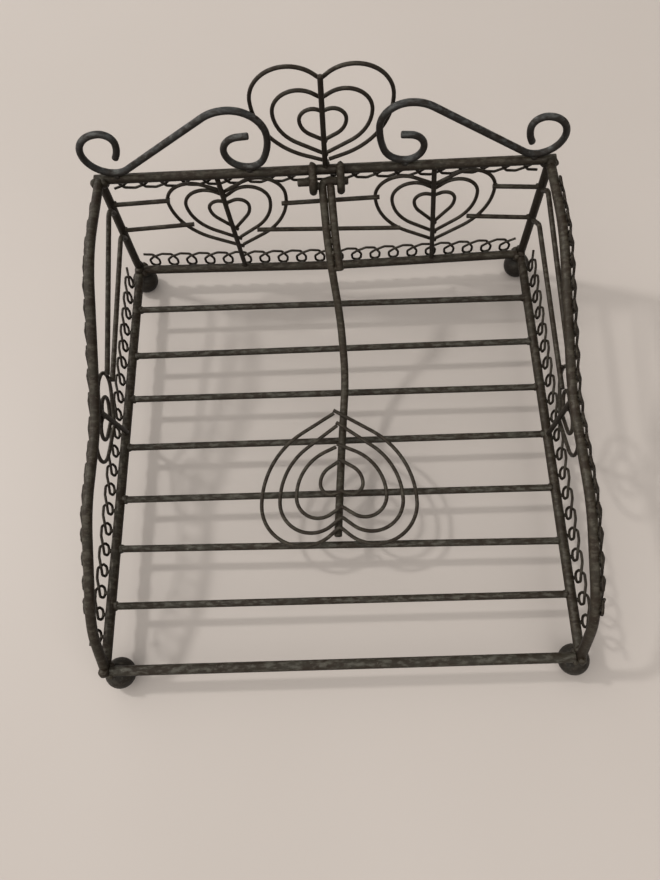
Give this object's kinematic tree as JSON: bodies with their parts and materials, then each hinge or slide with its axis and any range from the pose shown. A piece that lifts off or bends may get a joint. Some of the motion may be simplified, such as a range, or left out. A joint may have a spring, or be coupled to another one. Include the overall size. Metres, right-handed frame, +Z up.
{
  "type": "wire napkin holder",
  "caption": "Flat wire napkin holder: a barred tray on ball feet with curved side rails, heart and scroll panels, and a hinged heart-shaped weight that lies on the napkins.",
  "frame": {"origin": "centre of the footprint, on the surface that the four ball feet stand on", "axes": "+Z up, +Y towards the tall back panel with the hinge, +X to the right seen from the open front"},
  "size_m": [0.2016, 0.2062, 0.13],
  "materials": {
    "frame_wire": "near-black bronze paint, rubbed to grey-green on raised places, satin",
    "bar_wire": "near-black bronze paint with grey-green rubbing and light worn flecks, satin",
    "scroll_wire": "near-black bronze paint with a blue-grey bloom, satin",
    "stem_wire": "near-black bronze paint, satin",
    "heart_wire": "near-black bronze paint, satin",
    "trim_wire": "near-black bronze paint, matte",
    "arm_wire": "brown-black bronze paint with grey-green rubbing, satin",
    "ball_foot": "near-black bronze paint, satin"
  },
  "bodies": {
    "rack": {"back_bottom_rail": "frame_wire", "back_bottom_trim": "trim_wire", "back_left_foot": "ball_foot", "back_right_foot": "ball_foot", "back_top_rail": "frame_wire", "back_top_trim": "trim_wire", "crest_inner_heart": "heart_wire", "crest_middle_heart": "heart_wire", "crest_outer_heart": "heart_wire", "crest_stem": "stem_wire", "cross_bar_1": "bar_wire", "cross_bar_2": "bar_wire", "cross_bar_3": "bar_wire", "cross_bar_4": "bar_wire", "cross_bar_5": "bar_wire", "cross_bar_6": "bar_wire", "cross_bar_7": "bar_wire", "front_left_foot": "ball_foot", "front_rail": "bar_wire", "front_right_foot": "ball_foot", "left_back_inner_heart": "heart_wire", "left_back_middle_heart": "heart_wire", "left_back_outer_heart": "heart_wire", "left_back_post": "frame_wire", "left_back_stem": "stem_wire", "left_base_rail": "frame_wire", "left_base_trim": "trim_wire", "left_hinge_lug": "arm_wire", "left_rail_trim": "trim_wire", "left_scroll": "scroll_wire", "left_side_inner_heart": "heart_wire", "left_side_outer_heart": "heart_wire", "left_side_rail": "frame_wire", "left_side_stem": "stem_wire", "left_side_wires": "stem_wire", "lower_back_ties": "stem_wire", "right_back_inner_heart": "heart_wire", "right_back_middle_heart": "heart_wire", "right_back_outer_heart": "heart_wire", "right_back_post": "frame_wire", "right_back_stem": "stem_wire", "right_base_rail": "frame_wire", "right_base_trim": "trim_wire", "right_hinge_lug": "arm_wire", "right_rail_trim": "trim_wire", "right_scroll": "scroll_wire", "right_side_inner_heart": "heart_wire", "right_side_outer_heart": "heart_wire", "right_side_rail": "frame_wire", "right_side_stem": "stem_wire", "right_side_wires": "stem_wire", "upper_back_ties": "stem_wire"},
    "arm": {"arm_brace": "arm_wire", "arm_wire": "arm_wire", "pivot_stub": "arm_wire", "weight_inner_heart": "heart_wire", "weight_outer_heart": "heart_wire", "weight_second_heart": "heart_wire", "weight_third_heart": "heart_wire"}
  },
  "joints": [
    {"name": "weight_hinge", "type": "hinge", "parent": "rack", "child": "arm", "pos_m": [0, 0.0925, 0.0768], "axis": [-1, 0, 0], "range_deg": [0, 112]}
  ]
}
